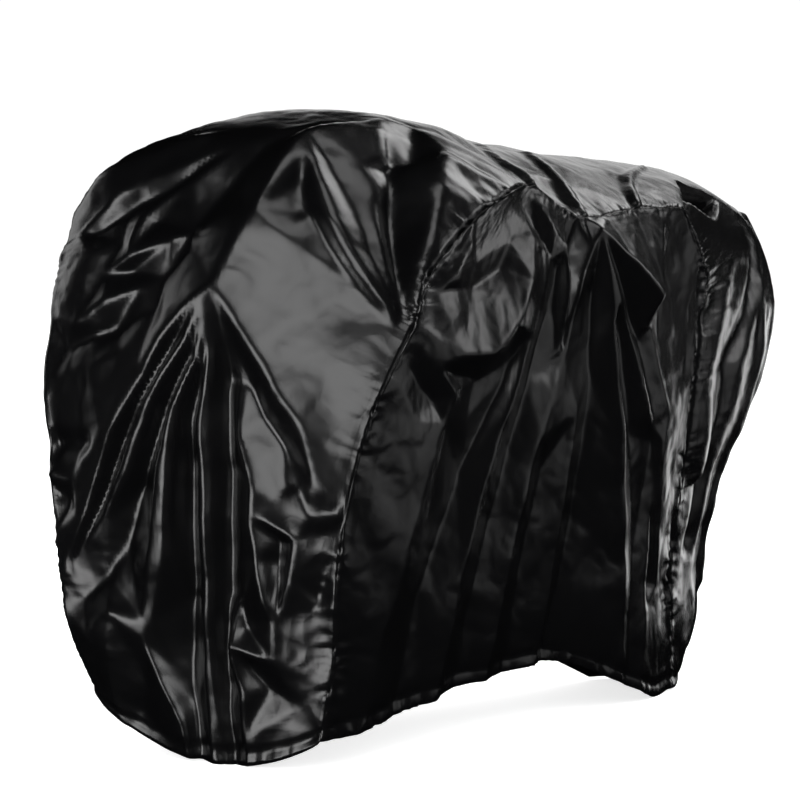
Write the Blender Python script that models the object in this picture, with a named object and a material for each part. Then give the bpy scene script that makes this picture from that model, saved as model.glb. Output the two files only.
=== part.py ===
# A fitted bicycle cover: one long centre strip from hem to hem over the bicycle, and two side panels.
# The bicycle is not built. Metres, +Z up, front at -X, near side at -Y, the ground at z = 0.
# The cloth is worked out as one surface, folded, and then divided along the two seams. The tables
# below have x = 0 above the pedals; at the end the origin moves to the middle of the cover's foot.
import math

import bmesh
import bpy
import numpy as np

CLOTH_THICKNESS = 0.0012
SEAM_GAP = 0.0006            # cloth to cloth across a seam
FRONT_CELLS = 15             # along a seam, hem to the upper front corner
TOP_CELLS = 33               # along the top
REAR_CELLS = 15              # down to the rear hem
STRIP_CELLS = 18             # across the centre strip
STRIP_LENGTH_CELLS = FRONT_CELLS + TOP_CELLS + REAR_CELLS
HALF_STRIP = 0.35            # half the width that the strip was cut to
PANEL_BULGE = 0.012          # the side panels belly out this much between their edges
CREST_RADIUS = 0.20          # roundness of a fold's crest, as a share of its width
FOOT_POWER = 1.4             # how softly a fold runs out at its foot
STRIP_COLOUR = (0.012, 0.012, 0.013, 1.0)
PANEL_COLOUR = (0.010, 0.010, 0.010, 1.0)
GLOSS_ROUGHNESS = 0.35       # the coating shines

# Sections across the centre strip, from the front hem over the top to the rear hem.
# near and far are the two seams and mid is the middle of the strip. A fullness of 1 is a tent,
# 2 an arch, and more than 3 a flat top with round shoulders.
STRIP_COLUMNS = ("near", "mid", "far", "fullness")
STRIP_SECTIONS = (
    ((-0.54, -0.27, 0.065), (-0.58, -0.02, 0.012), (-0.61, 0.23, 0.120), 2.2),
    ((-0.53, -0.29, 0.19), (-0.59, 0.00, 0.17), (-0.635, 0.26, 0.22), 2.2),
    ((-0.54, -0.31, 0.36), (-0.60, 0.00, 0.36), (-0.650, 0.285, 0.36), 2.0),
    ((-0.52, -0.32, 0.50), (-0.60, 0.00, 0.54), (-0.645, 0.31, 0.51), 2.0),
    ((-0.47, -0.33, 0.64), (-0.59, 0.00, 0.71), (-0.640, 0.33, 0.68), 2.0),
    ((-0.38, -0.34, 0.78), (-0.57, 0.00, 0.87), (-0.610, 0.335, 0.85), 2.0),
    ((-0.29, -0.33, 0.91), (-0.52, 0.00, 1.02), (-0.560, 0.33, 0.97), 2.4),
    ((-0.16, -0.315, 0.995), (-0.44, 0.00, 1.12), (-0.470, 0.32, 1.06), 2.4),
    ((-0.03, -0.295, 1.045), (-0.28, 0.00, 1.185), (-0.340, 0.29, 1.11), 2.4),
    ((0.08, -0.27, 1.06), (-0.08, 0.00, 1.19), (-0.150, 0.27, 1.09), 2.0),
    ((0.25, -0.265, 1.00), (0.15, 0.00, 1.155), (0.12, 0.26, 1.05), 1.5),
    ((0.40, -0.255, 1.02), (0.40, 0.00, 1.14), (0.38, 0.25, 1.04), 1.5),
    ((0.52, -0.25, 1.027), (0.62, 0.00, 1.13), (0.56, 0.24, 1.04), 1.6),
    ((0.63, -0.24, 1.015), (0.85, 0.00, 1.11), (0.70, 0.225, 1.02), 1.8),
    ((0.69, -0.225, 0.95), (1.06, 0.00, 1.06), (0.76, 0.21, 0.95), 1.8),
    ((0.74, -0.21, 0.87), (1.20, 0.00, 0.98), (0.79, 0.20, 0.87), 2.0),
    ((0.73, -0.20, 0.78), (1.27, 0.00, 0.85), (0.79, 0.20, 0.78), 2.0),
    ((0.70, -0.20, 0.59), (1.22, 0.00, 0.66), (0.77, 0.19, 0.60), 2.0),
    ((0.69, -0.18, 0.42), (1.04, 0.00, 0.45), (0.75, 0.18, 0.43), 2.0),
    ((0.685, -0.16, 0.28), (0.98, 0.00, 0.27), (0.75, 0.16, 0.28), 2.0),
    ((0.72, -0.14, 0.14), (0.97, 0.00, 0.13), (0.77, 0.14, 0.14), 2.0),
    ((0.75, -0.12, 0.015), (0.90, 0.00, 0.012), (0.78, 0.12, 0.015), 2.0),
)

# The side hems from the front seam to the rear seam, which arch up over the cranks.
NEAR_HEM = ((-0.54, -0.27, 0.065), (-0.45, -0.275, 0.075), (-0.33, -0.27, 0.09), (-0.15, -0.25, 0.115),
            (0.06, -0.22, 0.125), (0.20, -0.20, 0.13), (0.30, -0.20, 0.115), (0.42, -0.20, 0.075),
            (0.53, -0.19, 0.04), (0.63, -0.155, 0.012), (0.75, -0.12, 0.015))
FAR_HEM = ((-0.61, 0.23, 0.120), (-0.50, 0.26, 0.09), (-0.33, 0.26, 0.09), (-0.12, 0.25, 0.11),
           (0.10, 0.23, 0.13), (0.30, 0.21, 0.145), (0.46, 0.19, 0.14), (0.62, 0.16, 0.09),
           (0.78, 0.12, 0.015))


def smooth_rows(rows, count):
    """count + 1 rows on a smooth curve through the given ones, evenly spaced along it."""
    rows = np.asarray(rows, float)
    steps = np.linalg.norm(np.diff(rows, axis=0), axis=1)
    at = np.concatenate([[0.0], np.cumsum(steps)])
    slopes = np.gradient(rows, at, axis=0)
    wanted = np.linspace(0.0, at[-1], count + 1)
    index = np.clip(np.searchsorted(at, wanted, side="right") - 1, 0, len(rows) - 2)
    span = (at[index + 1] - at[index])[:, None]
    part = ((wanted - at[index])[:, None]) / span
    square, cube = part ** 2, part ** 3
    return ((2 * cube - 3 * square + 1) * rows[index] + (cube - 2 * square + part) * span * slopes[index]
            + (3 * square - 2 * cube) * rows[index + 1] + (cube - square) * span * slopes[index + 1])


def strip_grid(length_cells, width_cells):
    """Points of the centre strip: rows run from the front hem to the rear hem, columns near to far."""
    sections = [dict(zip(STRIP_COLUMNS, section)) for section in STRIP_SECTIONS]
    table = [row["near"] + row["mid"] + row["far"] + (row["fullness"],) for row in sections]
    rows = smooth_rows(table, length_cells)
    across = np.linspace(-1.0, 1.0, width_cells + 1)[None, :, None]
    near, mid, far = rows[:, None, 0:3], rows[:, None, 3:6], rows[:, None, 6:9]
    flat = near * (1 - across) / 2 + far * (1 + across) / 2
    crown = 1 - np.abs(across) ** rows[:, None, 9:10]
    return flat + (mid - (near + far) / 2) * crown


def panel_grid(seam, hem, outward):
    """Points of a side panel: rows run from the hem up, columns from the front seam to the rear seam."""
    front = seam[:FRONT_CELLS + 1]
    top = seam[FRONT_CELLS:FRONT_CELLS + TOP_CELLS + 1]
    rear = seam[FRONT_CELLS + TOP_CELLS:][::-1]
    bottom = smooth_rows(hem, TOP_CELLS)
    up = np.linspace(0.0, 1.0, FRONT_CELLS + 1)[:, None, None]
    along = np.linspace(0.0, 1.0, TOP_CELLS + 1)[None, :, None]
    sides = front[:, None] * (1 - along) + rear[:, None] * along
    ends = bottom[None] * (1 - up) + top[None] * up
    corners = ((1 - up) * ((1 - along) * bottom[0] + along * bottom[-1])
               + up * ((1 - along) * top[0] + along * top[-1]))
    points = sides + ends - corners
    belly = np.sin(math.pi * along[..., 0]) * np.sin(math.pi * up[..., 0])
    points[..., 1] += outward * PANEL_BULGE * belly
    return points


# Main folds. A fold follows a few places on its cloth and stands depth metres out of it, or into it
# where depth is negative. It is start and end metres wide on either side of its crest.
# On the strip a place is (run, across): metres along its middle from the front hem, and metres from
# its middle, with the far side positive. On a side panel a place is (x, z).
FOLD_COLUMNS = ("places", "depth", "start", "end")
STRIP_FOLDS = (
    # the fan below the point where the cloth is drawn forward, in the middle of the front
    (((0.86, -0.02), (0.66, 0.09), (0.50, 0.18), (0.36, 0.33)), 0.032, 0.020, 0.060),
    (((0.86, -0.02), (0.60, 0.00), (0.36, 0.07), (0.20, 0.11)), 0.035, 0.020, 0.060),
    (((0.86, -0.03), (0.57, -0.05), (0.06, -0.05)), 0.030, 0.020, 0.060),
    (((0.78, -0.02), (0.48, 0.00), (0.03, 0.02)), -0.041, 0.020, 0.060),
    (((0.79, -0.04), (0.52, -0.10), (0.30, -0.10)), -0.038, 0.020, 0.069),
    # the edge from that point up to the handlebar
    (((0.86, -0.02), (1.02, -0.09), (1.21, -0.09)), 0.042, 0.120, 0.070),
    # folds from the handlebar to the near seam
    (((1.20, -0.12), (1.02, -0.22), (0.87, -0.34)), 0.022, 0.024, 0.060),
    (((1.20, -0.23), (1.02, -0.30), (0.89, -0.33)), -0.030, 0.048, 0.060),
    (((1.36, -0.13), (1.16, -0.24)), 0.024, 0.036, 0.060),
    # slack across the upper far side of the front, and pockets under it
    (((0.96, 0.33), (0.94, 0.15), (0.97, 0.02)), 0.022, 0.060, 0.060),
    (((1.03, 0.32), (1.06, 0.15), (1.12, 0.02)), 0.019, 0.060, 0.060),
    (((0.79, 0.33), (0.80, 0.18), (0.85, 0.04)), 0.019, 0.060, 0.060),
    (((0.60, 0.34), (0.59, 0.20)), -0.024, 0.048, 0.060),
    # broken folds low on the near half of the front
    (((0.46, -0.15), (0.41, -0.26), (0.28, -0.22)), 0.024, 0.036, 0.060),
    (((0.22, -0.12), (0.14, -0.34)), 0.022, 0.042, 0.060),
    (((0.24, 0.25), (0.21, 0.12), (0.08, 0.13)), 0.024, 0.048, 0.060),
    # the top, and the corner behind the saddle
    (((1.40, -0.10), (1.80, -0.17), (2.30, -0.24)), -0.011, 0.036, 0.060),
    (((2.42, -0.28), (2.62, -0.19)), -0.032, 0.042, 0.060),
    (((1.45, 0.12), (1.85, 0.18), (2.35, 0.22)), -0.011, 0.036, 0.060),
    # the rear
    (((2.75, -0.15), (3.10, -0.28), (3.60, -0.24)), -0.024, 0.030, 0.060),
    (((2.92, -0.19), (3.20, -0.16), (3.70, -0.10)), 0.022, 0.030, 0.060),
    (((2.80, 0.02), (3.20, 0.05), (3.85, 0.03)), -0.022, 0.036, 0.063),
    (((2.75, 0.16), (3.20, 0.20), (3.80, 0.18)), 0.022, 0.036, 0.060),
)
NEAR_FOLDS = (
    # the fan below the upper rear corner
    (((0.29, 0.97), (0.34, 0.64), (0.39, 0.36), (0.48, 0.08)), 0.035, 0.020, 0.060),
    (((0.31, 0.97), (0.47, 0.66), (0.57, 0.10)), 0.027, 0.020, 0.060),
    (((0.34, 0.90), (0.43, 0.55), (0.50, 0.15)), -0.030, 0.020, 0.060),
    (((0.62, 0.98), (0.50, 0.86), (0.56, 0.63)), 0.035, 0.060, 0.050),
    (((0.25, 0.97), (0.22, 0.60), (0.14, 0.17)), -0.046, 0.024, 0.069),
    (((0.15, 0.94), (0.15, 0.76)), 0.030, 0.036, 0.060),
    (((0.08, 0.92), (0.04, 0.65), (-0.13, 0.30)), -0.038, 0.036, 0.069),
    # long slack folds that run down and forward to the hem
    (((0.15, 0.66), (0.05, 0.53), (-0.14, 0.30), (-0.22, 0.12)), 0.030, 0.022, 0.060),
    (((-0.11, 0.66), (-0.25, 0.42), (-0.38, 0.23), (-0.48, 0.09)), 0.024, 0.036, 0.069),
    (((-0.02, 0.62), (-0.15, 0.42), (-0.33, 0.12)), -0.022, 0.036, 0.060),
    # the full corner behind the handlebar
    (((-0.22, 0.92), (-0.17, 0.83), (-0.02, 0.79)), 0.027, 0.048, 0.060),
    (((-0.30, 0.79), (-0.15, 0.64)), 0.019, 0.036, 0.060),
)
FAR_FOLDS = (
    (((0.34, 0.99), (0.40, 0.64), (0.50, 0.10)), 0.032, 0.020, 0.060),
    (((0.32, 0.99), (0.26, 0.60), (0.16, 0.14)), 0.030, 0.020, 0.060),
    (((0.36, 0.95), (0.55, 0.60), (0.66, 0.15)), -0.027, 0.020, 0.060),
    (((0.28, 0.97), (0.06, 0.60), (-0.10, 0.14)), -0.035, 0.024, 0.063),
    (((0.00, 0.98), (-0.14, 0.62), (-0.28, 0.12)), 0.027, 0.024, 0.063),
    (((-0.40, 0.98), (-0.38, 0.62), (-0.45, 0.12)), -0.024, 0.024, 0.063),
    (((-0.46, 0.94), (-0.28, 0.84), (-0.10, 0.80)), 0.024, 0.036, 0.060),
)


def fold_height(places, folds):
    """How far the folds lift each place, shaped as its last axis holds the two coordinates."""
    lift = np.zeros(places.shape[:-1])
    for row in folds:
        fold = dict(zip(FOLD_COLUMNS, row))
        path = np.asarray(fold["places"], float)
        depth, start, end = fold["depth"], fold["start"], fold["end"]
        lengths = np.linalg.norm(np.diff(path, axis=0), axis=1)
        reached = np.concatenate([[0.0], np.cumsum(lengths)])
        nearest = np.full(lift.shape, np.inf)
        share = np.zeros(lift.shape)
        for first, second, length, before in zip(path, path[1:], lengths, reached):
            line = second - first
            along = np.clip(((places - first) @ line) / length ** 2, 0.0, 1.0)
            away = np.linalg.norm(places - first - along[..., None] * line, axis=-1)
            closer = away < nearest
            nearest = np.where(closer, away, nearest)
            share = np.where(closer, (before + along * length) / reached[-1], share)
        width = start + (end - start) * share
        offset = nearest / width
        crest = 1 + CREST_RADIUS - np.sqrt(offset ** 2 + CREST_RADIUS ** 2)
        lift += depth * width / max(start, end) * np.clip(crest, 0.0, 1.0) ** FOOT_POWER
    return lift


def grid_normals(points, outward):
    """Unit normals of a grid of points: outward is 1 or -1, for the side that they point to."""
    down = np.gradient(points, axis=0)
    right = np.gradient(points, axis=1)
    normals = np.cross(down, right) * outward
    return normals / np.linalg.norm(normals, axis=-1, keepdims=True)


def share_seam(strip, panel, column):
    """Gives a panel's seam edge and the strip's edge the same mean values, so the cloth runs on."""
    edges = ((slice(0, FRONT_CELLS + 1), (slice(None), 0)),
             (slice(FRONT_CELLS, FRONT_CELLS + TOP_CELLS + 1), (-1, slice(None))),
             (slice(STRIP_LENGTH_CELLS, FRONT_CELLS + TOP_CELLS - 1, -1), (slice(None), -1)))
    for rows, place in edges:
        shared = (strip[rows, column] + panel[place]) / 2
        strip[rows, column] = shared
        panel[place] = shared


def unit(vectors):
    return vectors / np.linalg.norm(vectors, axis=-1, keepdims=True)


def cloth_grids():
    """The folded outer face of each piece and its normals, about the middle of the cover's foot."""
    strip = strip_grid(STRIP_LENGTH_CELLS, STRIP_CELLS)
    near = panel_grid(strip[:, 0], NEAR_HEM, -1)
    far = panel_grid(strip[:, -1], FAR_HEM, 1)
    strip_normals = grid_normals(strip, 1)
    near_normals = grid_normals(near, -1)
    far_normals = grid_normals(far, 1)
    for normals, column in ((near_normals, 0), (far_normals, -1)):
        share_seam(strip_normals, normals, column)
    middle = strip[:, STRIP_CELLS // 2]
    run = np.concatenate([[0.0], np.cumsum(np.linalg.norm(np.diff(middle, axis=0), axis=1))])
    across = np.linspace(-HALF_STRIP, HALF_STRIP, STRIP_CELLS + 1)
    strip_places = np.stack(np.meshgrid(run, across, indexing="ij"), axis=-1)
    strip_lift = fold_height(strip_places, STRIP_FOLDS)
    near_lift = fold_height(near[..., [0, 2]], NEAR_FOLDS)
    far_lift = fold_height(far[..., [0, 2]], FAR_FOLDS)
    for lift, column in ((near_lift, 0), (far_lift, -1)):
        share_seam(strip_lift, lift, column)
    grids = {}
    for name, points, normals, lift in (("centre_strip", strip, strip_normals, strip_lift),
                                        ("near_side_panel", near, near_normals, near_lift),
                                        ("far_side_panel", far, far_normals, far_lift)):
        normals = unit(normals)
        grids[name] = (points + normals * lift[..., None], normals)
    everywhere = np.concatenate([points.reshape(-1, 3) for points, normals in grids.values()])
    low, high = everywhere.min(axis=0), everywhere.max(axis=0)
    origin = np.array(((low[0] + high[0]) / 2, (low[1] + high[1]) / 2, low[2]))
    return {name: (points - origin, normals) for name, (points, normals) in grids.items()}


def clear_scene():
    for item in list(bpy.data.objects):
        bpy.data.objects.remove(item, do_unlink=True)


def taffeta(name, colour, roughness):
    """Coated polyester taffeta, black and glossy."""
    material = bpy.data.materials.new(name)
    material.use_nodes = True
    shader = material.node_tree.nodes["Principled BSDF"]
    shader.inputs["Base Color"].default_value = colour
    shader.inputs["Roughness"].default_value = roughness
    shader.inputs["Metallic"].default_value = 0.0
    return material


def open_seams(points, inner, edges):
    """Draws the named edges of a sheet in by half the seam gap, on both of its faces."""
    pulls = {"first_column": ((slice(None), 0), (slice(None), 1)),
             "last_column": ((slice(None), -1), (slice(None), -2)),
             "last_row": ((-1, slice(None)), (-2, slice(None)))}
    for edge in edges:
        rim, beside = pulls[edge]
        step = unit(points[beside] - points[rim]) * SEAM_GAP / 2
        points[rim] += step
        inner[rim] += step


def sheet_object(name, points, normals, seams, material, collection):
    """One closed sheet of cloth between its outer face and an inner face a thickness below it."""
    outer_points = points.copy()
    inner_points = points - normals * CLOTH_THICKNESS
    open_seams(outer_points, inner_points, seams)
    mesh = bpy.data.meshes.new(name)
    work = bmesh.new()
    rows, columns = points.shape[:2]
    outer = [[work.verts.new(outer_points[i, j]) for j in range(columns)] for i in range(rows)]
    inner = [[work.verts.new(inner_points[i, j]) for j in range(columns)] for i in range(rows)]
    for i in range(rows - 1):
        for j in range(columns - 1):
            for face in (outer, inner):
                work.faces.new((face[i][j], face[i + 1][j], face[i + 1][j + 1], face[i][j + 1]))
    rim = ([(i, 0) for i in range(rows)] + [(rows - 1, j) for j in range(1, columns)]
           + [(i, columns - 1) for i in range(rows - 2, -1, -1)] + [(0, j) for j in range(columns - 2, 0, -1)])
    for (i, j), (k, m) in zip(rim, rim[1:] + rim[:1]):
        work.faces.new((outer[i][j], outer[k][m], inner[k][m], inner[i][j]))
    bmesh.ops.recalc_face_normals(work, faces=work.faces)
    work.to_mesh(mesh)
    work.free()
    mesh.shade_smooth()
    mesh.materials.append(material)
    cloth = bpy.data.objects.new(name, mesh)
    collection.objects.link(cloth)
    return cloth


def build():
    clear_scene()
    collection = bpy.data.collections.new("bicycle_cover")
    bpy.context.scene.collection.children.link(collection)
    grids = cloth_grids()
    pieces = (("centre_strip", ("first_column", "last_column"), STRIP_COLOUR),
              ("near_side_panel", ("first_column", "last_row", "last_column"), PANEL_COLOUR),
              ("far_side_panel", ("first_column", "last_row", "last_column"), PANEL_COLOUR))
    for name, seams, colour in pieces:
        points, normals = grids[name]
        material = taffeta(name + "_taffeta", colour, GLOSS_ROUGHNESS)
        sheet_object(name, points, normals, seams, material, collection)


build()
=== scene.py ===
# Black taffeta bicycle cover: the fine cloth, its folds, seams, hems and finish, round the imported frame.
import math

import bpy
import numpy as np
from mathutils import Matrix, Vector, geometry, noise


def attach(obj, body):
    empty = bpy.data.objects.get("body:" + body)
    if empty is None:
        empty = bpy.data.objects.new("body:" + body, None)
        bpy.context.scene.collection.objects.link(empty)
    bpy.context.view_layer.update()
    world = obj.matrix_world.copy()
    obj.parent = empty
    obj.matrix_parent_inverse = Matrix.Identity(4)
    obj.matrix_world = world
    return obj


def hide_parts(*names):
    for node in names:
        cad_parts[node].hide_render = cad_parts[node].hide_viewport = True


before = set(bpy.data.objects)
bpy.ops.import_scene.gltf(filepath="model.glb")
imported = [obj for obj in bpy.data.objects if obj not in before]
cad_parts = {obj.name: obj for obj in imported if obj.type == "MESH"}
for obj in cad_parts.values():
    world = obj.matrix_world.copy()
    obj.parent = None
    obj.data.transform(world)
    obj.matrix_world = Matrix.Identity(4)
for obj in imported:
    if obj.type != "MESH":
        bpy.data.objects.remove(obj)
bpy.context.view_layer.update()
print("frame loaded")

# The tables place everything from a point on the ground above which the pedals stand; the frame has
# its origin in the middle of the cover's foot instead.
layout = {
    "pedals": (-0.2994, 0.0015, -0.0088),   # where that point lies in the frame
    "frontCells": 93,                        # along a seam from the front hem to the upper corner
    "topCells": 94,                          # on from there over the top
    "rearCells": 93,                         # and down to the rear hem
    "stripCells": 43,                        # from seam to seam
    "halfStrip": 0.35,                       # half the width that the strip was cut to
    "stripRun": 4.05,                        # hem to hem
    "panelLength": 1.25,                     # seam to seam, half way up
    "panelHeight": 0.95,                     # hem to top seam in the middle
    "seamHeight": 1.0,                       # and measured round the corner
    "belly": 0.012,                          # how far a side bulges in its middle
    "crestRound": 0.006,                     # how rounded a soft fold's crest is
    "creaseRound": 0.0035,                   # and a crease's
    "crestCurve": 1.4,                       # above 1 a soft fold's sides are hollow
    "creaseLift": 1.25,                      # every height in the crease tables is multiplied by this
}
layout["stripLength"] = layout["frontCells"] + layout["topCells"] + layout["rearCells"]

# near seam, middle, far seam and fullness, from the front hem over the top to the rear hem
stripSections = (
    ((-0.54, -0.27, 0.065), (-0.58, -0.02, 0.012), (-0.61, 0.23, 0.120), 2.2),
    ((-0.53, -0.29, 0.19), (-0.59, 0.00, 0.17), (-0.635, 0.26, 0.22), 2.2),
    ((-0.54, -0.31, 0.36), (-0.60, 0.00, 0.36), (-0.650, 0.285, 0.36), 2.0),
    ((-0.52, -0.32, 0.50), (-0.60, 0.00, 0.54), (-0.645, 0.31, 0.51), 2.0),
    ((-0.47, -0.33, 0.64), (-0.59, 0.00, 0.71), (-0.640, 0.33, 0.68), 2.0),
    ((-0.38, -0.34, 0.78), (-0.57, 0.00, 0.87), (-0.610, 0.335, 0.85), 2.0),
    ((-0.29, -0.33, 0.91), (-0.52, 0.00, 1.02), (-0.560, 0.33, 0.97), 2.4),
    ((-0.16, -0.315, 0.995), (-0.44, 0.00, 1.12), (-0.470, 0.32, 1.06), 2.4),
    ((-0.03, -0.295, 1.045), (-0.28, 0.00, 1.185), (-0.340, 0.29, 1.11), 2.4),
    ((0.08, -0.27, 1.06), (-0.08, 0.00, 1.19), (-0.150, 0.27, 1.09), 2.0),
    ((0.25, -0.265, 1.00), (0.15, 0.00, 1.155), (0.12, 0.26, 1.05), 1.5),
    ((0.40, -0.255, 1.02), (0.40, 0.00, 1.14), (0.38, 0.25, 1.04), 1.5),
    ((0.52, -0.25, 1.027), (0.62, 0.00, 1.13), (0.56, 0.24, 1.04), 1.6),
    ((0.63, -0.24, 1.015), (0.85, 0.00, 1.11), (0.70, 0.225, 1.02), 1.8),
    ((0.69, -0.225, 0.95), (1.06, 0.00, 1.06), (0.76, 0.21, 0.95), 1.8),
    ((0.74, -0.21, 0.87), (1.20, 0.00, 0.98), (0.79, 0.20, 0.87), 2.0),
    ((0.73, -0.20, 0.78), (1.27, 0.00, 0.85), (0.79, 0.20, 0.78), 2.0),
    ((0.70, -0.20, 0.59), (1.22, 0.00, 0.66), (0.77, 0.19, 0.60), 2.0),
    ((0.69, -0.18, 0.42), (1.04, 0.00, 0.45), (0.75, 0.18, 0.43), 2.0),
    ((0.685, -0.16, 0.28), (0.98, 0.00, 0.27), (0.75, 0.16, 0.28), 2.0),
    ((0.72, -0.14, 0.14), (0.97, 0.00, 0.13), (0.77, 0.14, 0.14), 2.0),
    ((0.75, -0.12, 0.015), (0.90, 0.00, 0.012), (0.78, 0.12, 0.015), 2.0),
)
nearHem = ((-0.54, -0.27, 0.065), (-0.45, -0.275, 0.075), (-0.33, -0.27, 0.09), (-0.15, -0.25, 0.115),
           (0.06, -0.22, 0.125), (0.20, -0.20, 0.13), (0.30, -0.20, 0.115), (0.42, -0.20, 0.075),
           (0.53, -0.19, 0.04), (0.63, -0.155, 0.012), (0.75, -0.12, 0.015))
farHem = ((-0.61, 0.23, 0.120), (-0.50, 0.26, 0.09), (-0.33, 0.26, 0.09), (-0.12, 0.25, 0.11),
          (0.10, 0.23, 0.13), (0.30, 0.21, 0.145), (0.46, 0.19, 0.14), (0.62, 0.16, 0.09),
          (0.78, 0.12, 0.015))

# A soft fold: the places it follows on its cloth, how far it stands out (or in, below zero), its width
# at its start and at its end, and its lean: towards 1 the right side is the long one, towards -1 the
# left, seen along it. On the strip a place is (run, across) in metres from the front hem and from the
# middle; on a side it is (x, z).
stripFolds = (
    # the far bar end and the slack over the far half of the front
    (((1.10, 0.26), (1.12, 0.24)), 0.016, 0.12, 0.12, 0.0),
    (((1.05, 0.33), (1.10, 0.20), (1.16, 0.10)), 0.014, 0.050, 0.030, 0.3),
    (((0.60, 0.34), (0.585, 0.24)), -0.008, 0.036, 0.022, 0.0),
    # the top and the corner behind the saddle
    (((1.52, -0.34), (1.64, -0.18), (1.72, -0.02)), 0.012, 0.034, 0.018, 0.0),
    (((1.76, -0.34), (1.85, -0.22), (1.93, -0.08)), 0.014, 0.036, 0.018, 0.0),
    (((2.08, -0.34), (2.20, -0.20), (2.34, -0.10)), 0.010, 0.030, 0.018, 0.0),
    (((1.45, 0.12), (1.85, 0.18), (2.35, 0.22)), -0.008, 0.030, 0.060, 0.0),
    (((1.60, 0.34), (1.72, 0.16)), 0.006, 0.034, 0.020, 0.0),
    (((2.00, 0.34), (2.12, 0.16)), 0.006, 0.034, 0.020, 0.0),
    # the rear
    (((2.75, -0.15), (3.10, -0.28), (3.60, -0.25)), -0.022, 0.020, 0.044, 0.0),
    (((2.92, -0.19), (3.20, -0.17), (3.70, -0.10)), 0.020, 0.020, 0.046, 0.0),
    (((2.84, -0.30), (3.10, -0.33), (3.40, -0.30)), 0.014, 0.020, 0.034, 0.0),
    (((2.80, 0.02), (3.20, 0.05), (3.85, 0.03)), -0.024, 0.024, 0.050, 0.0),
    (((2.78, -0.06), (3.20, -0.07), (3.85, -0.04)), 0.018, 0.020, 0.040, 0.0),
    (((2.75, 0.16), (3.20, 0.20), (3.80, 0.18)), 0.020, 0.024, 0.046, 0.0),
)
farFolds = (
    (((0.34, 0.99), (0.40, 0.64), (0.50, 0.10)), 0.030, 0.012, 0.046, 0.0),
    (((0.32, 0.99), (0.26, 0.60), (0.16, 0.14)), 0.028, 0.012, 0.046, 0.0),
    (((0.36, 0.95), (0.55, 0.60), (0.66, 0.15)), -0.024, 0.012, 0.044, 0.0),
    (((0.28, 0.97), (0.06, 0.60), (-0.10, 0.14)), -0.034, 0.018, 0.050, 0.0),
    (((0.00, 0.98), (-0.14, 0.62), (-0.28, 0.12)), 0.026, 0.016, 0.046, 0.0),
    (((-0.10, 0.96), (-0.24, 0.62), (-0.40, 0.14)), 0.020, 0.014, 0.038, 0.0),
    (((-0.40, 0.98), (-0.38, 0.62), (-0.45, 0.12)), -0.022, 0.018, 0.048, 0.0),
    (((-0.46, 0.94), (-0.28, 0.84), (-0.10, 0.80)), 0.010, 0.034, 0.060, 0.0),
)

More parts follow.
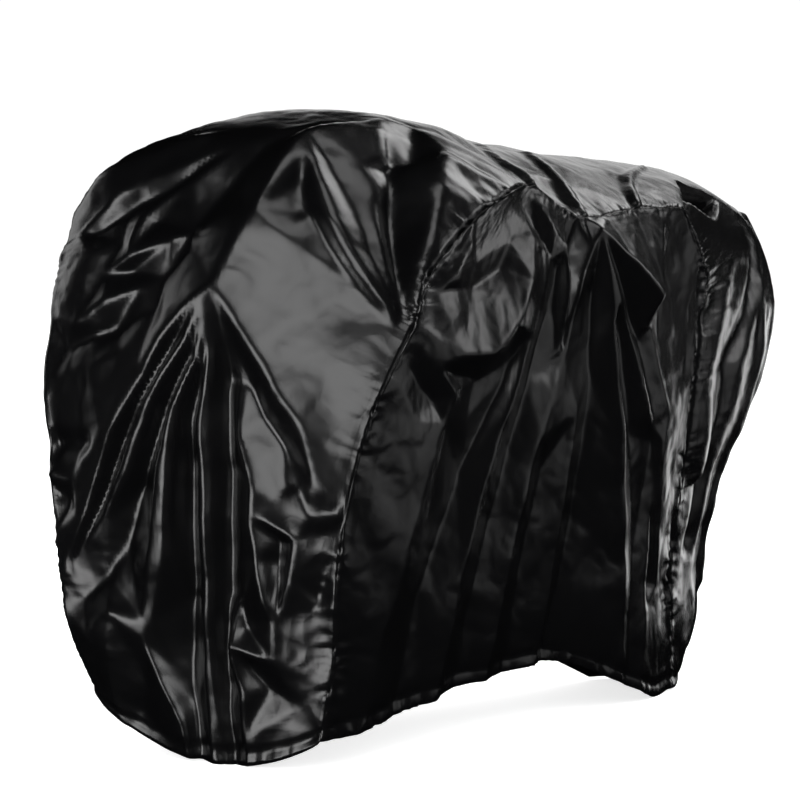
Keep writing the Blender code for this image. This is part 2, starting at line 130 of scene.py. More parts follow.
# A crease: places on the cloth, each with its height in millimetres above the form (below it when under
# zero). Between the creases the cloth is pulled flat, which gives its straight-edged facets.
# Where many creases meet: on the strip, the push of the lamp and of the bars; on a side, the saddle's.
lampPoint = (0.86, -0.05, 58)
barPoint = (1.18, -0.09, 34)
saddlePoint = (0.255, 0.98, 26)
stripCreases = (
    # the edge from the lamp up to the handlebar, and the hollow beside it
    (lampPoint, (0.99, -0.09, 50), barPoint),
    ((0.87, 0.06, 6), (0.96, 0.02, -2), (1.06, -0.02, -2), (1.16, -0.05, 8)),
    ((0.88, 0.14, -4), (0.98, 0.10, -6), (1.08, 0.06, -4)),
    # the band from the handlebar to the pinch in the near seam
    (barPoint, (1.02, -0.17, 18), (0.92, -0.26, 8), (0.86, -0.33, 2)),
    (barPoint, (1.01, -0.195, 32), (0.92, -0.28, 16), (0.86, -0.33, 2)),
    (barPoint, (1.01, -0.215, 30), (0.91, -0.30, 13), (0.86, -0.33, 2)),
    (barPoint, (1.14, -0.145, 14), (1.02, -0.25, 2), (0.92, -0.315, -2)),
    ((1.13, -0.115, 32), (1.08, -0.135, 16), (1.02, -0.150, 18), (0.96, -0.155, 36)),
    # the deep fold behind it and the ridges of the near corner
    ((1.30, -0.17, 8), (1.20, -0.22, -12), (1.03, -0.29, -30), (0.90, -0.335, -8)),
    ((1.16, -0.19, 6), (1.10, -0.24, 0), (0.98, -0.30, 0)),
    ((1.42, -0.10, 2), (1.36, -0.13, 10), (1.28, -0.165, 20), (1.21, -0.205, 6)),
    ((1.33, -0.24, 6), (1.27, -0.265, 26), (1.13, -0.305, 28), (0.98, -0.34, 6)),
    ((1.42, -0.16, 0), (1.34, -0.20, -8), (1.25, -0.235, -12)),
    # the fan below the lamp: each ridge has a flat top with a valley beside it, from the far side on
    (lampPoint, (0.79, 0.035, 38), (0.71, 0.095, 27), (0.61, 0.185, 20), (0.45, 0.27, 12), (0.36, 0.33, 3)),
    (lampPoint, (0.77, 0.030, 42), (0.69, 0.077, 32), (0.59, 0.160, 25), (0.43, 0.245, 16),
     (0.345, 0.315, 6)),
    (lampPoint, (0.72, 0.042, 12), (0.61, 0.125, 0), (0.47, 0.21, -8), (0.37, 0.285, -2)),
    (lampPoint, (0.77, -0.008, 44), (0.66, 0.075, 30), (0.53, 0.145, 20), (0.45, 0.205, 10),
     (0.35, 0.30, 2)),
    (lampPoint, (0.76, -0.018, 43), (0.65, 0.058, 29), (0.52, 0.125, 19), (0.44, 0.19, 9)),
    (lampPoint, (0.74, -0.020, 18), (0.64, 0.040, 0), (0.51, 0.10, -10), (0.39, 0.15, -10),
     (0.32, 0.19, 0)),
    (lampPoint, (0.73, -0.029, 40), (0.64, 0.022, 30), (0.55, 0.045, 26), (0.39, 0.075, 20),
     (0.25, 0.105, 14)),
    (lampPoint, (0.73, -0.036, 39), (0.64, 0.006, 31), (0.55, 0.020, 27), (0.39, 0.035, 20),
     (0.25, 0.080, 14)),
    (lampPoint, (0.72, -0.042, 16), (0.62, -0.012, -4), (0.48, -0.005, -20), (0.30, -0.005, -24),
     (0.10, 0.01, -16), (-0.03, 0.015, -10)),
    (lampPoint, (0.75, -0.052, 38), (0.62, -0.036, 22), (0.49, -0.044, 14), (0.31, -0.048, 8),
     (0.15, -0.044, 6), (-0.03, -0.03, 3)),
    (lampPoint, (0.75, -0.058, 37), (0.62, -0.048, 21), (0.49, -0.060, 13), (0.31, -0.064, 7),
     (0.15, -0.066, 5), (-0.03, -0.06, 3)),
    (lampPoint, (0.78, -0.065, 30), (0.70, -0.085, -2), (0.54, -0.09, -22), (0.31, -0.095, -24),
     (0.15, -0.095, -14), (-0.03, -0.09, -8)),
    ((0.70, -0.115, 10), (0.60, -0.12, 18), (0.51, -0.16, 22), (0.48, -0.23, 8)),
    ((0.60, -0.12, 18), (0.56, -0.165, 14), (0.50, -0.20, 12)),
    (lampPoint, (0.76, -0.095, 24), (0.69, -0.135, 4), (0.64, -0.16, -6), (0.60, -0.20, -8),
     (0.52, -0.22, -2)),
    (lampPoint, (0.75, -0.140, 38), (0.70, -0.18, 28), (0.64, -0.24, 17), (0.54, -0.28, 8)),
    # slack folds over the far half of the front
    ((0.98, 0.29, 6), (1.04, 0.19, 16), (1.10, 0.07, 10)),
    ((0.97, 0.25, -4), (1.01, 0.17, -6), (1.05, 0.09, -2)),
    ((0.99, 0.13, 8), (1.07, 0.06, 10), (1.15, 0.00, 12)),
    ((0.88, 0.20, 6), (0.91, 0.14, 12), (0.94, 0.05, 14)),
    ((0.93, 0.24, 10), (0.94, 0.17, -2)),
    ((0.80, 0.25, 14), (0.83, 0.18, 18), (0.855, 0.11, 8)),
    ((0.76, 0.29, -6), (0.78, 0.17, -6), (0.81, 0.07, 12)),
    ((0.71, 0.33, 2), (0.72, 0.22, 12), (0.74, 0.14, 16)),
    ((0.64, 0.33, -4), (0.645, 0.25, 2)),
    ((0.58, 0.33, -8), (0.57, 0.26, 0)),
    ((0.54, 0.34, 8), (0.52, 0.28, 8)),
    ((0.50, 0.33, -6), (0.48, 0.29, -2)),
    # broken folds low on the front
    ((0.54, -0.28, 8), (0.46, -0.16, 22), (0.38, -0.18, 20), (0.31, -0.20, 20), (0.27, -0.215, 14)),
    ((0.46, -0.16, 22), (0.42, -0.26, 16), (0.35, -0.25, 14), (0.27, -0.225, 12)),
    ((0.42, -0.22, -4), (0.37, -0.215, -8), (0.32, -0.22, -4)),
    ((0.42, -0.26, 16), (0.45, -0.335, 3)),
    ((0.52, -0.25, 0), (0.47, -0.27, -4), (0.49, -0.33, -6)),
    ((0.36, -0.32, -4), (0.31, -0.31, -8), (0.28, -0.30, 0)),
    ((0.30, -0.13, -6), (0.25, -0.15, -2)),
    ((0.22, -0.12, 22), (0.19, -0.22, 16), (0.14, -0.33, 3)),
    ((0.22, -0.12, 22), (0.13, -0.145, 15), (0.05, -0.14, 10), (-0.03, -0.14, 6)),
    ((0.19, -0.15, 2), (0.14, -0.20, -4), (0.10, -0.28, 0)),
    ((0.10, -0.10, -4), (0.05, -0.11, -6)),
    ((0.26, 0.19, 22), (0.22, 0.11, 16), (0.16, 0.08, 14), (0.06, 0.03, 10), (-0.03, 0.025, 6)),
    ((0.26, 0.19, 22), (0.19, 0.27, 12), (0.09, 0.335, 2)),
    ((0.26, 0.19, 22), (0.07, 0.24, 10), (-0.03, 0.25, 4)),
    ((0.22, 0.11, 16), (0.13, 0.13, 2), (0.06, 0.17, -6)),
    ((0.32, 0.22, -4), (0.27, 0.28, -2)),
    ((0.25, 0.09, 14), (0.16, 0.04, -6)),
    # the top
    ((1.42, -0.10, 2), (1.60, -0.15, 8), (1.80, -0.22, 7), (1.95, -0.33, 2)),
    ((1.50, -0.24, -4), (1.70, -0.27, -4)),
    ((2.42, -0.30, 2), (2.43, -0.19, 4), (2.64, -0.15, 4), (2.66, -0.25, 4), (2.42, -0.30, 2)),
    ((2.45, -0.28, -44), (2.46, -0.21, -52), (2.60, -0.18, -48), (2.62, -0.23, -40), (2.45, -0.28, -44)),
)
nearCreases = (
    # the slack triangle behind the saddle
    (saddlePoint, (0.345, 0.915, 40), (0.43, 0.85, 52)),
    ((0.43, 0.85, 52), (0.53, 1.00, 3)),
    ((0.565, 0.98, -2), (0.53, 0.86, -8), (0.53, 0.76, -4)),
    ((0.43, 0.85, 52), (0.46, 0.79, 14), (0.56, 0.60, 10), (0.59, 0.25, 6), (0.60, -0.02, 4)),
    # the fan below the rear of the saddle
    (saddlePoint, (0.345, 0.87, 8), (0.42, 0.76, 2), (0.52, 0.55, -4), (0.56, 0.25, -6)),
    (saddlePoint, (0.325, 0.84, 24), (0.42, 0.68, 18), (0.53, 0.55, 10), (0.53, 0.20, 6), (0.53, -0.02, 4)),
    (saddlePoint, (0.335, 0.82, 6), (0.41, 0.57, -6), (0.47, 0.30, -8), (0.50, -0.02, -4)),
    (saddlePoint, (0.305, 0.80, 22), (0.36, 0.55, 18), (0.41, 0.30, 14), (0.46, -0.02, 8)),
    (saddlePoint, (0.265, 0.87, 0), (0.27, 0.70, -10), (0.25, 0.42, -18), (0.20, 0.14, -10),
     (0.18, -0.02, -6)),
    # the narrow folds below the seam
    (saddlePoint, (0.23, 0.94, 20), (0.19, 0.87, 14), (0.175, 0.79, 2)),
    ((0.17, 1.00, 0), (0.185, 0.93, -14), (0.17, 0.85, -14), (0.16, 0.77, -6)),
    ((0.06, 1.04, 2), (0.10, 0.98, 16), (0.14, 0.94, 20), (0.145, 0.85, 20), (0.14, 0.745, 5)),
    ((0.12, 0.90, 2), (0.12, 0.82, -4), (0.13, 0.75, 0)),
    ((-0.03, 1.02, 2), (0.03, 0.96, 16), (0.09, 0.92, 12)),
    ((0.01, 1.04, -2), (0.06, 0.98, -4)),
    # long diagonals that run down and forward to the hem
    ((0.09, 0.92, 12), (0.02, 0.78, 14), (-0.05, 0.64, 15), (-0.12, 0.50, 15), (-0.18, 0.33, 14),
     (-0.24, -0.02, 8)),
    ((0.10, 0.83, -6), (0.05, 0.70, -10), (-0.03, 0.50, -10), (-0.10, 0.30, -9), (-0.15, -0.02, -4)),
    ((0.16, 0.74, 4), (0.07, 0.58, 10), (0.00, 0.36, 12), (-0.06, -0.02, 8)),
    ((0.12, 0.52, -6), (0.07, 0.32, -8), (0.04, -0.02, -4)),
    ((0.21, 0.62, 4), (0.18, 0.38, 10), (0.16, 0.16, 8)),
    ((-0.04, 0.70, -4), (-0.17, 0.52, -12), (-0.29, 0.30, -10), (-0.36, -0.02, -6)),
    ((-0.26, 0.62, 6), (-0.36, 0.42, 14), (-0.42, 0.24, 12), (-0.46, -0.02, 6)),
    # the full corner behind the handlebar
    ((-0.37, 0.81, 2), (-0.24, 0.745, 24), (-0.14, 0.745, 32), (-0.06, 0.80, 28), (0.00, 0.88, 22)),
    ((-0.30, 0.86, 4), (-0.17, 0.87, -4), (-0.08, 0.90, -2)),
    ((-0.26, 0.88, 10), (-0.19, 0.945, 12)),
    ((-0.17, 0.91, 6), (-0.05, 0.95, 10)),
    ((-0.24, 0.71, 2), (-0.14, 0.70, -2), (-0.04, 0.73, -4)),
    ((-0.37, 0.775, 2), (-0.30, 0.725, 12), (-0.24, 0.68, 14), (-0.18, 0.62, 0)),
    ((-0.36, 0.72, -4), (-0.28, 0.66, -4)),
    ((-0.40, 0.70, 4), (-0.34, 0.63, 6)),
)
# where the cloth crumples most: the middle of each patch on its cloth, and its radius
slackPatches = {
    "strip": ((0.97, 0.22, 0.20), (0.78, 0.28, 0.12), (0.55, 0.30, 0.10), (0.14, 0.22, 0.14),
              (0.20, -0.26, 0.14), (0.45, -0.30, 0.10), (1.20, -0.24, 0.10), (1.55, -0.27, 0.16),
              (3.00, -0.20, 0.30), (3.30, 0.15, 0.40)),
    "near": ((-0.18, 0.86, 0.18), (-0.42, 0.60, 0.12), (0.10, 0.98, 0.14), (0.68, 0.60, 0.20)),
    "far": ((-0.30, 0.85, 0.30), (0.50, 0.50, 0.30)),
}


def smoothRows(rows, count):
    rows = np.asarray(rows, float)
    steps = np.linalg.norm(np.diff(rows, axis=0), axis=1)
    at = np.concatenate([[0.0], np.cumsum(steps)])
    slopes = np.gradient(rows, at, axis=0)
    wanted = np.linspace(0.0, at[-1], count + 1)
    index = np.clip(np.searchsorted(at, wanted, side="right") - 1, 0, len(rows) - 2)
    span = (at[index + 1] - at[index])[:, None]
    part = ((wanted - at[index])[:, None]) / span
    square, cube = part ** 2, part ** 3
    return ((2 * cube - 3 * square + 1) * rows[index] + (cube - 2 * square + part) * span * slopes[index]
            + (3 * square - 2 * cube) * rows[index + 1] + (cube - square) * span * slopes[index + 1])


def stripGrid():
    rows = smoothRows([near + mid + far + (full,) for near, mid, far, full in stripSections],
                      layout["stripLength"])
    across = np.linspace(-1.0, 1.0, layout["stripCells"] + 1)[None, :, None]
    near, mid, far = rows[:, None, 0:3], rows[:, None, 3:6], rows[:, None, 6:9]
    flat = near * (1 - across) / 2 + far * (1 + across) / 2
    return flat + (mid - (near + far) / 2) * (1 - np.abs(across) ** rows[:, None, 9:10])


def panelGrid(seam, hem, outward):
    front = seam[:layout["frontCells"] + 1]
    top = seam[layout["frontCells"]:layout["frontCells"] + layout["topCells"] + 1]
    rear = seam[layout["frontCells"] + layout["topCells"]:][::-1]
    bottom = smoothRows(hem, layout["topCells"])
    up = np.linspace(0.0, 1.0, layout["frontCells"] + 1)[:, None, None]
    along = np.linspace(0.0, 1.0, layout["topCells"] + 1)[None, :, None]
    points = (front[:, None] * (1 - along) + rear[:, None] * along + bottom[None] * (1 - up) + top[None] * up
              - (1 - up) * ((1 - along) * bottom[0] + along * bottom[-1])
              - up * ((1 - along) * top[0] + along * top[-1]))
    bulge = outward * layout["belly"] * np.sin(math.pi * along[..., 0])
    points[..., 1] += bulge * np.sin(math.pi * up[..., 0])
    return points


def foldHeight(places, folds):
    lift = np.zeros(places.shape[:-1])
    for path, depth, start, end, lean in folds:
        path = np.asarray(path, float)
        lengths = np.linalg.norm(np.diff(path, axis=0), axis=1)
        reached = np.concatenate([[0.0], np.cumsum(lengths)])
        nearest = np.full(lift.shape, np.inf)
        share = np.zeros(lift.shape)
        side = np.zeros(lift.shape)
        for first, second, length, before in zip(path, path[1:], lengths, reached):
            line = second - first
            offset = places - first
            along = np.clip((offset @ line) / length ** 2, 0.0, 1.0)
            away = np.linalg.norm(offset - along[..., None] * line, axis=-1)
            turned = (line[1] * offset[..., 0] - line[0] * offset[..., 1]) / length
            closer = away < nearest
            nearest = np.where(closer, away, nearest)
            share = np.where(closer, (before + along * length) / reached[-1], share)
            side = np.where(closer, turned / np.maximum(away, 1e-6), side)
        width = start + (end - start) * share
        reach = width * (1 + lean * np.clip(side, -1, 1))
        rounded = np.sqrt(nearest ** 2 + layout["crestRound"] ** 2) - layout["crestRound"]
        crest = np.clip(1 - rounded / reach, 0.0, 1.0) ** layout["crestCurve"]
        lift += depth * width / max(start, end) * crest
    return lift


def outline(places):
    return np.concatenate([places[::8, 0], places[-1, ::8], places[::-8, -1]])


def creaseHeight(places, creases):
    spots, joins = [(x, y, 0.0) for x, y in outline(places)], []
    for crease in creases:
        last = None
        for spot in crease:
            if spot not in spots:
                spots.append(spot)
            number = spots.index(spot)
            if last is not None:
                joins.append((last, number))
            last = number
    flat = [Vector(spot[:2]) for spot in spots]
    corners, _, faces, origins, _, _ = geometry.delaunay_2d_cdt(flat, joins, [], 0, 1e-4)
    known = np.array([spot[:2] for spot in spots])
    heights = []
    for corner, origin in zip(corners, origins):
        if origin:
            heights.append(np.mean([spots[number][2] for number in origin]))
        else:
            nearness = 1 / (np.linalg.norm(known - np.array(corner), axis=1) + 1e-3) ** 4
            heights.append(nearness @ np.array([spot[2] for spot in spots]) / nearness.sum())
    total = np.zeros(places.shape[:2])
    reach = layout["creaseRound"]
    steps = [(0.0, 0.0)]
    for ring in (1, 2):
        steps += [(ring * reach * math.cos(turn), ring * reach * math.sin(turn))
                  for turn in np.arange(6) * math.pi / 3 + ring]
    for step in steps:
        shifted = places.reshape(-1, 2) + step
        height = np.zeros(len(shifted))
        for face in faces:
            a, b, c = (np.array(corners[number]) for number in face)
            least, most = np.min([a, b, c], axis=0), np.max([a, b, c], axis=0)
            inside = np.all((shifted >= least) & (shifted <= most), axis=1)
            chosen = np.nonzero(inside)[0]
            area = (b[0] - a[0]) * (c[1] - a[1]) - (c[0] - a[0]) * (b[1] - a[1])
            if len(chosen) == 0 or abs(area) < 1e-9:
                continue
            x, y = (shifted[chosen] - a).T
            second = (x * (c[1] - a[1]) - y * (c[0] - a[0])) / area
            third = (y * (b[0] - a[0]) - x * (b[1] - a[1])) / area
            first = 1 - second - third
            within = np.minimum(np.minimum(first, second), third) > -1e-6
            values = first * heights[face[0]] + second * heights[face[1]] + third * heights[face[2]]
            height[chosen[within]] = values[within]
        total += height.reshape(places.shape[:2])
    return total / len(steps) / 1000 * layout["creaseLift"]


# One joined mesh for the whole cover, so that folds and wrinkles run on across the seams.
def joinGrids():
    strip = stripGrid()
    near = panelGrid(strip[:, 0], nearHem, -1)
    far = panelGrid(strip[:, -1], farHem, 1)
    front, top, length = layout["frontCells"], layout["topCells"], layout["stripLength"]
    points = list(strip.reshape(-1, 3))
    numbers = {"strip": np.arange(len(points)).reshape(strip.shape[:2])}
    for name, panel, column in (("near", near, 0), ("far", far, -1)):
        index = np.full(panel.shape[:2], -1)
        seam = numbers["strip"][:, column]
        index[:, 0] = seam[:front + 1]
        index[-1, :] = seam[front:front + top + 1]
        index[:, -1] = seam[front + top:][::-1]
        fresh = index < 0
        index[fresh] = len(points) + np.arange(fresh.sum())
        points.extend(panel[fresh])
        numbers[name] = index
    return np.array(points), numbers, {"strip": strip, "near": near, "far": far}


def gridFaces(index, flip):
    around = [index[:-1, :-1], index[1:, :-1], index[1:, 1:], index[:-1, 1:]]
    corners = np.stack(around, axis=-1).reshape(-1, 4)
    return corners[:, ::-1] if flip else corners


def meshNormals(points, faces):
    across = points[faces[:, 2]] - points[faces[:, 0]]
    other = points[faces[:, 3]] - points[faces[:, 1]]
    each = np.cross(across, other)
    normals = np.zeros_like(points)
    for corner in range(4):
        np.add.at(normals, faces[:, corner], each)
    return normals / np.maximum(np.linalg.norm(normals, axis=1, keepdims=True), 1e-12)


points, numbers, grids = joinGrids()
faces = {"strip": gridFaces(numbers["strip"], False),
         "near": gridFaces(numbers["near"], True),
         "far": gridFaces(numbers["far"], False)}
allFaces = np.concatenate(list(faces.values()))
normals = meshNormals(points, allFaces)
middle = grids["strip"][:, layout["stripCells"] // 2]
run = np.concatenate([[0.0], np.cumsum(np.linalg.norm(np.diff(middle, axis=0), axis=1))])
across = np.linspace(-layout["halfStrip"], layout["halfStrip"], layout["stripCells"] + 1)
places = {"strip": np.stack(np.meshgrid(run, across, indexing="ij"), axis=-1),
          "near": grids["near"][..., [0, 2]], "far": grids["far"][..., [0, 2]]}
lift = np.zeros(len(points))
share = np.zeros(len(points))
for name, folds in (("strip", stripFolds), ("near", ()), ("far", farFolds)):
    np.add.at(lift, numbers[name], foldHeight(places[name], folds))
    np.add.at(share, numbers[name], 1.0)
points = points + normals * (lift / share)[:, None] + np.array(layout["pedals"])
print("folds placed:", len(points), "points")

# The cloth is a little larger than the form it is drawn over, and more so along the gathered seams and
# hems, so it buckles into creases when it settles.
slack = {
    "least": 0.004,          # how much larger the cloth is where it lies calm, as a share
    "most": 0.06,            # and where it is gathered
    "hold": 0.75,            # how firmly the calm cloth is held to its form
    "slackHold": 0.28,       # and the gathered cloth
    "pull": 1.0,
    "frames": 16,
    "steps": 5,
    "mass": 0.1,
    "damping": 2.0,
    "bending": 10.0,
    "seed": 0.004,           # unevenness that starts the buckling, and how many to the metre
    "seedSize": 12.0,
    "seamReach": 0.03,       # how far from a seam the gathering goes
    "patches": 0.4,          # slack in the named patches, with a seam's at 1
}


def seamDistance(name, shape):
    rows, columns = np.meshgrid(np.arange(shape[0]), np.arange(shape[1]), indexing="ij")
    if name == "strip":
        cell = 2 * layout["halfStrip"] / (shape[1] - 1)
        return np.minimum(columns, shape[1] - 1 - columns) * cell
    upCell, alongCell = layout["seamHeight"] / (shape[0] - 1), layout["panelLength"] / (shape[1] - 1)
    return np.minimum(np.minimum(columns, shape[1] - 1 - columns) * alongCell, (shape[0] - 1 - rows) * upCell)


def settle(points, gather, hold):
    mesh = bpy.data.meshes.new("joinedCloth")
    start = np.array([noise.noise(Vector(place) * slack["seedSize"]) for place in points])
    began = points + meshNormals(points, allFaces) * (start * slack["seed"])[:, None]
    mesh.from_pydata(began.tolist(), [], allFaces.tolist())
    mesh.update()
    joined = bpy.data.objects.new("joinedCloth", mesh)
    bpy.context.scene.collection.objects.link(joined)
    for name, weights in (("held", hold), ("gathered", gather)):
        group = joined.vertex_groups.new(name=name)
        for level in np.unique(np.round(weights, 2)):
            group.add(np.nonzero(np.round(weights, 2) == level)[0].tolist(), float(level), "REPLACE")
    modifier = joined.modifiers.new("cloth", "CLOTH")
    cloth = modifier.settings
    cloth.quality = slack["steps"]
    cloth.mass = slack["mass"]
    cloth.air_damping = slack["damping"]
    cloth.bending_stiffness = slack["bending"]
    cloth.vertex_group_mass = "held"
    cloth.pin_stiffness = slack["pull"]
    cloth.shrink_min = -slack["least"]
    cloth.shrink_max = -slack["most"]
    cloth.vertex_group_shrink = "gathered"
    cloth.effector_weights.gravity = 0.0
    modifier.collision_settings.use_collision = False
    for number in range(1, slack["frames"] + 1):
        bpy.context.scene.frame_set(number)
    shown = joined.evaluated_get(bpy.context.evaluated_depsgraph_get()).to_mesh()
    settled = np.empty(len(points) * 3)
    shown.vertices.foreach_get("co", settled)
    bpy.data.objects.remove(joined, do_unlink=True)
    bpy.data.meshes.remove(mesh)
    bpy.context.scene.frame_set(1)
    return settled.reshape(-1, 3)


gather = np.zeros(len(points))
for name, index in numbers.items():
    near = np.exp(-seamDistance(name, index.shape) / slack["seamReach"])
    for x, y, radius in slackPatches[name]:
        away = np.linalg.norm(places[name] - (x, y), axis=-1)
        near = np.maximum(near, slack["patches"] * np.exp(-(away / radius) ** 4))
    gather[index] = np.maximum(gather[index], near)
hold = slack["hold"] + (slack["slackHold"] - slack["hold"]) * gather
points = settle(points, gather, hold)
print("cloth settled")


# Twice as fine: a smooth point goes in between each two, then the seams are matched again.
def between(values):
    ends = np.concatenate([2 * values[:1] - values[1:2], values, 2 * values[-1:] - values[-2:-1]])
    half = (9 * (ends[1:-2] + ends[2:-1]) - ends[:-3] - ends[3:]) / 16
    finer = np.empty((2 * len(values) - 1,) + values.shape[1:])
    finer[::2] = values
    finer[1::2] = half
    return finer


def refine(grid):
    return np.swapaxes(between(np.swapaxes(between(grid), 0, 1)), 0, 1)


def seamPlaces(shape):
    front, top = 2 * layout["frontCells"], 2 * layout["topCells"]
    return ((slice(0, front + 1), (slice(None), 0)), (slice(front, front + top + 1), (-1, slice(None))),
            (slice(2 * layout["stripLength"], front + top - 1, -1), (slice(None), -1)))


fine = {name: refine(points[index]) for name, index in numbers.items()}
finePlaces = {name: refine(grid) for name, grid in places.items()}
for name, column in (("near", 0), ("far", -1)):
    for rows, place in seamPlaces(fine[name].shape):
        fine[name][place] = fine["strip"][rows, column]


# Gathered edges: short uneven puckers across them; a seam's stitched line is drawn in as well.
# pitch: from one pucker to the next; stitched: how far the stitching lies from the edge
seamLook = {"pitch": 0.022, "reach": 0.026, "height": 0.0060, "sunk": 0.0030, "sunkReach": 0.005,
            "stitched": 0.0}
hemLook = {"pitch": 0.026, "reach": 0.030, "height": 0.0045, "sunk": 0.0030, "sunkReach": 0.006,
           "stitched": 0.020}
puckerLook = {
    "sharp": 2.6,            # how steeply a pucker rises
    "turn": 14.0,            # how much it bends on its way from the edge
    "size": (0.45, 1.5),     # its usual size, and how much that varies
    "sizeScale": 7.0,
    "sizeLimits": (0.05, 1.4),
    "farSide": (0.1, 0.4),   # from this far over, puckers are this much smaller
    "topFrom": 0.9,          # above this height a side's seam runs along the top
}
crumple = {"size": 9.0, "depth": 0.0025, "fineSize": 24.0, "fineDepth": 0.0008, "calm": 0.15, "sharp": 3,
           "calming": 12}    # calming: rounds of smoothing before the fine folds' directions are taken


def noiseOver(grid, scale, offset):
    flat = grid.reshape(-1, 3) * scale + offset
    return np.array([noise.noise(Vector(place)) for place in flat]).reshape(grid.shape[:2])


def puckers(along, distance, size, look):
    spots = np.stack([along / look["pitch"], distance * puckerLook["turn"], size], axis=-1)
    ridges = 1 - puckerLook["sharp"] * np.abs(noiseOver(spots, 1.0, 4.0))
    lift = look["height"] * size * ridges * np.exp(-distance / look["reach"])
    return lift - look["sunk"] * np.exp(-((distance - look["stitched"]) / look["sunkReach"]) ** 2)


def hemDistance(name, shape):
    rows = np.repeat(np.arange(shape[0])[:, None], shape[1], axis=1)
    if name == "strip":
        return np.minimum(rows, shape[0] - 1 - rows) * layout["stripRun"] / (shape[0] - 1)
    return rows * layout["panelHeight"] / (shape[0] - 1)


def ridgeLines(grid, scale, offset):
    return 1 - np.minimum(np.abs(noiseOver(grid, scale, offset)) * crumple["sharp"], 1)


def detail(name, grid, marks):
    shape = grid.shape[:2]
    usual, varied = puckerLook["size"]
    size = np.clip(usual + varied * noiseOver(grid, puckerLook["sizeScale"], 11.0), *puckerLook["sizeLimits"])
    farFrom, farShare = puckerLook["farSide"]
    size = size * np.where(grid[..., 1] > farFrom, farShare, 1.0)
    turned = grid[..., 2] - np.where(grid[..., 2] > puckerLook["topFrom"], grid[..., 0], 0.0)
    alongSeam, alongHem = (marks[..., 0], marks[..., 1]) if name == "strip" else (turned, marks[..., 0])
    lift = puckers(alongSeam, seamDistance(name, shape), size, seamLook)
    lift += puckers(alongHem, hemDistance(name, shape), size, hemLook)
    creased = crumple["calm"] + (1 - crumple["calm"]) * refine(gather[numbers[name]])
    lift -= crumple["depth"] * creased * ridgeLines(grid, crumple["size"], 5.0)
    lift -= crumple["fineDepth"] * ridgeLines(grid, crumple["fineSize"], 8.0)
    return lift


# The fine folds stand out from the form's main directions, taken from a smoothed copy.
def calmNormals(points):
    smooth = points
    for turn in range(crumple["calming"]):
        total, count = np.zeros_like(smooth), np.zeros(len(smooth))
        for corner in range(4):
            np.add.at(total, allFaces[:, corner], smooth[allFaces].mean(axis=1))
            np.add.at(count, allFaces[:, corner], 1.0)
        smooth = total / count[:, None]
    return meshNormals(smooth, allFaces)


lifts = {name: detail(name, grid, finePlaces[name]) for name, grid in fine.items()}
lifts["strip"] += creaseHeight(finePlaces["strip"], stripCreases)
lifts["near"] += creaseHeight(finePlaces["near"], nearCreases)
calm = calmNormals(points)
fineNormals = {name: refine(calm[index]) for name, index in numbers.items()}
for name, column in (("near", 0), ("far", -1)):
    for rows, place in seamPlaces(fine[name].shape):
        mean = fineNormals["strip"][rows, column] + fineNormals[name][place]
        mean /= np.linalg.norm(mean, axis=-1, keepdims=True)
        fineNormals["strip"][rows, column] = mean
        fineNormals[name][place] = mean
        lifts[name][place] = lifts["strip"][rows, column]
for name in fine:
    fine[name] = fine[name] + fineNormals[name] * lifts[name][..., None]
print("creases and seams laid")


clothLook = {"thickness": 0.0012, "calmCrumple": 0.18, "crumpleCurve": 1.5}


def makePiece(name, side, flip, material):
    grid, marks = fine[side], finePlaces[side]
    slackShare = np.clip(refine(gather[numbers[side]]), 0.0, 1.0) ** clothLook["crumpleCurve"]
    slackness = clothLook["calmCrumple"] + (1 - clothLook["calmCrumple"]) * slackShare
    index = np.arange(grid.shape[0] * grid.shape[1]).reshape(grid.shape[:2])
    mesh = bpy.data.meshes.new(name)
    mesh.from_pydata(grid.reshape(-1, 3).tolist(), [], gridFaces(index, flip).tolist())
    mesh.update()
    corners = np.empty(len(mesh.loops), int)
    mesh.loops.foreach_get("vertex_index", corners)
    mesh.uv_layers.new(name="cut").uv.foreach_set("vector", marks.reshape(-1, 2)[corners].ravel())
    mesh.attributes.new("slackness", "FLOAT", "POINT").data.foreach_set("value", slackness.ravel())
    piece = bpy.data.objects.new(name, mesh)
    bpy.context.scene.collection.objects.link(piece)
    mesh.shade_smooth()
    mesh.materials.append(material)
    thick = piece.modifiers.new("thickness", "SOLIDIFY")
    thick.thickness = clothLook["thickness"]
    thick.offset = -1.0
    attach(piece, "root")
    return piece


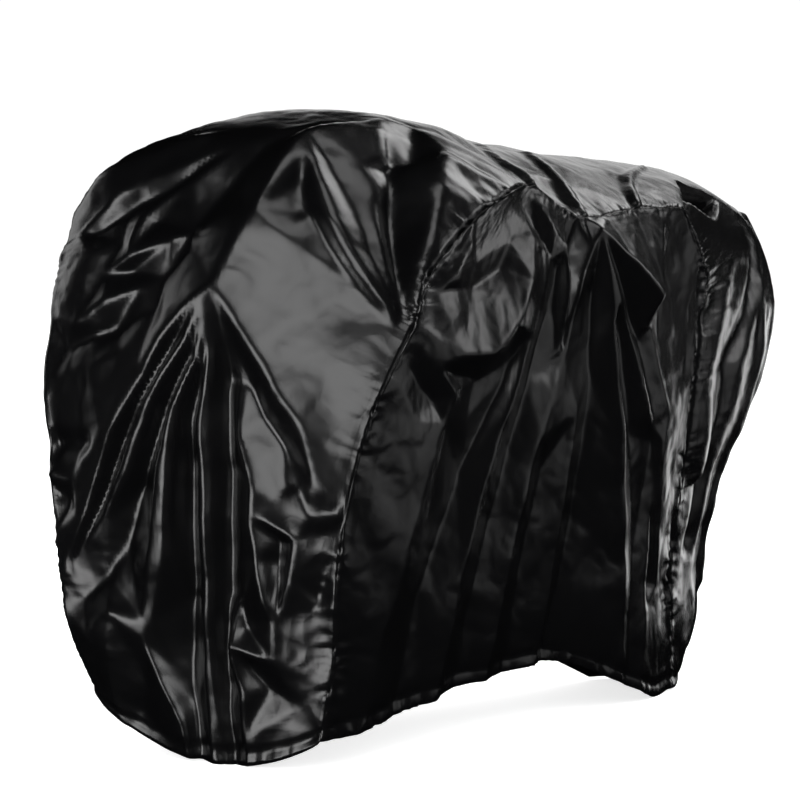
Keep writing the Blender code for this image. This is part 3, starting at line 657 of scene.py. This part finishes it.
def taffeta(name, look):
    material = bpy.data.materials.new(name)
    material.use_nodes = True
    nodes, links = material.node_tree.nodes, material.node_tree.links
    shader = nodes["Principled BSDF"]
    shader.inputs["Base Color"].default_value = look["colour"]
    shader.inputs["Roughness"].default_value = look["roughness"]
    shader.inputs["Specular IOR Level"].default_value = look["specular"]
    place = nodes.new("ShaderNodeTexCoord")
    bend = nodes.new("ShaderNodeTexNoise")
    bend.inputs["Scale"].default_value = look["bendScale"]
    bent = nodes.new("ShaderNodeVectorMath")
    bent.operation = "MULTIPLY_ADD"
    bent.inputs[1].default_value = (look["bend"],) * 3
    links.new(place.outputs["Object"], bend.inputs["Vector"])
    links.new(bend.outputs["Color"], bent.inputs[0])
    links.new(place.outputs["Object"], bent.inputs[2])
    slackness = nodes.new("ShaderNodeAttribute")
    slackness.attribute_name = "slackness"
    previous = None
    for scale, deep in look["crumples"]:
        facets = nodes.new("ShaderNodeTexVoronoi")
        facets.inputs["Scale"].default_value = scale
        links.new(bent.outputs[0], facets.inputs["Vector"])
        height = nodes.new("ShaderNodeMath")
        height.operation = "MULTIPLY"
        links.new(facets.outputs["Distance"], height.inputs[0])
        links.new(slackness.outputs["Fac"], height.inputs[1])
        bump = nodes.new("ShaderNodeBump")
        bump.inputs["Distance"].default_value = deep
        links.new(height.outputs[0], bump.inputs["Height"])
        if previous:
            links.new(previous.outputs["Normal"], bump.inputs["Normal"])
        previous = bump
    weave = nodes.new("ShaderNodeTexNoise")
    weave.inputs["Scale"].default_value = look["weaveScale"]
    weave.inputs["Detail"].default_value = 2.0
    links.new(place.outputs["Object"], weave.inputs["Vector"])
    bump = nodes.new("ShaderNodeBump")
    bump.inputs["Distance"].default_value = look["weaveDepth"]
    links.new(weave.outputs["Fac"], bump.inputs["Height"])
    links.new(previous.outputs["Normal"], bump.inputs["Normal"])
    links.new(bump.outputs["Normal"], shader.inputs["Normal"])
    return material


# crumples: how many to the metre, and how deep
blackLook = {"colour": (0.0012, 0.0012, 0.0014, 1.0), "roughness": 0.27, "specular": 0.5, "bendScale": 6.0,
             "bend": 0.05, "weaveScale": 900.0, "weaveDepth": 0.00004,
             "crumples": ((13.0, 0.006), (31.0, 0.0018))}
cloth = taffeta("blackTaffeta", blackLook)
stripPiece = makePiece("centreStripCloth", "strip", False, cloth)
nearPiece = makePiece("nearPanelCloth", "near", True, cloth)
farPiece = makePiece("farPanelCloth", "far", False, cloth)
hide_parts("centre_strip")
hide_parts("near_side_panel")
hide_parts("far_side_panel")
print("pieces made")

# azimuth and height in degrees, and the point looked at, from the point below the pedals
view = {"azimuth": -50.0, "elevation": 2.42, "distance": 6.0, "aim": (0.0, 0.0, 0.646), "lens": 138.5,
        "sensor": 36.0}
floorLook = {"size": 60.0, "colour": (0.95, 0.95, 0.95, 1.0), "roughness": 0.9, "glow": 0.75}
# azimuth and height of each soft box in degrees, its distance, its width and height and its power
softBoxes = {
    "frontBox": (-49.0, 22.5, 4.5, 2.9, 2.4, 94.0),
    "overheadBox": (-20.0, 60.0, 3.8, 1.8, 1.4, 20.0),
    "sideBox": (84.0, 42.0, 5.0, 2.6, 2.0, 58.0),
    "sideMidBox": (52.0, 17.0, 5.0, 2.0, 1.4, 22.0),
    "sideFillBox": (46.0, -2.0, 5.0, 3.2, 1.4, 7.0),
    "sideLowBox": (100.0, -4.5, 5.0, 1.8, 1.1, 13.0),
    "leftBox": (-98.0, -4.0, 4.5, 1.8, 1.4, 50.0),
    "farLeftBox": (-168.0, 14.0, 5.0, 2.0, 3.0, 28.0),
    "backBox": (126.0, 20.0, 5.5, 3.0, 2.6, 29.0),
}
boxAim = (0.0, 0.0, 0.6)
worldStrength = 1.06


# places a camera or a lamp round a point, turned to face it
def stand(name, data, azimuth, height, distance, target):
    turn, tilt = math.radians(azimuth), math.radians(height)
    back = Vector((math.sin(turn) * math.cos(tilt), -math.cos(turn) * math.cos(tilt), math.sin(tilt)))
    right = Vector((math.cos(turn), math.sin(turn), 0.0))
    place = Matrix((right, back.cross(right), back)).transposed().to_4x4()
    place.translation = target + back * distance
    standing = bpy.data.objects.new(name, data)
    bpy.context.scene.collection.objects.link(standing)
    standing.matrix_world = place
    return standing


lens = bpy.data.cameras.new("camera")
lens.lens = view["lens"]
lens.sensor_width = view["sensor"]
aim = Vector(view["aim"]) + Vector(layout["pedals"])
bpy.context.scene.camera = stand("camera", lens, view["azimuth"], view["elevation"], view["distance"], aim)

bpy.ops.object.select_all(action="DESELECT")
bpy.ops.mesh.primitive_plane_add(size=floorLook["size"], location=(0, 0, 0))
floor = bpy.context.active_object
floor.name = "floor"
floorPaint = bpy.data.materials.new("paleFloor")
floorPaint.use_nodes = True
paint = floorPaint.node_tree.nodes["Principled BSDF"].inputs
paint["Base Color"].default_value = floorLook["colour"]
paint["Roughness"].default_value = floorLook["roughness"]
paint["Specular IOR Level"].default_value = 0.0
paint["Emission Color"].default_value = (1.0, 1.0, 1.0, 1.0)
paint["Emission Strength"].default_value = floorLook["glow"]
floor.data.materials.append(floorPaint)
floor.visible_glossy = False   # the glossy cloth mirrors the soft boxes and not the floor

for name, (azimuth, height, distance, wide, tall, power) in softBoxes.items():
    lamp = bpy.data.lights.new(name, "AREA")
    lamp.shape = "RECTANGLE"
    lamp.size = wide
    lamp.size_y = tall
    lamp.energy = power
    stand(name, lamp, azimuth, height, distance, Vector(boxAim))
world = bpy.data.worlds.new("studio")
bpy.context.scene.world = world
world.use_nodes = True
world.node_tree.nodes["Background"].inputs["Color"].default_value = (1.0, 1.0, 1.0, 1.0)
world.node_tree.nodes["Background"].inputs["Strength"].default_value = worldStrength
world.cycles_visibility.glossy = False
bpy.context.scene.view_settings.view_transform = "Standard"
print("stage set")
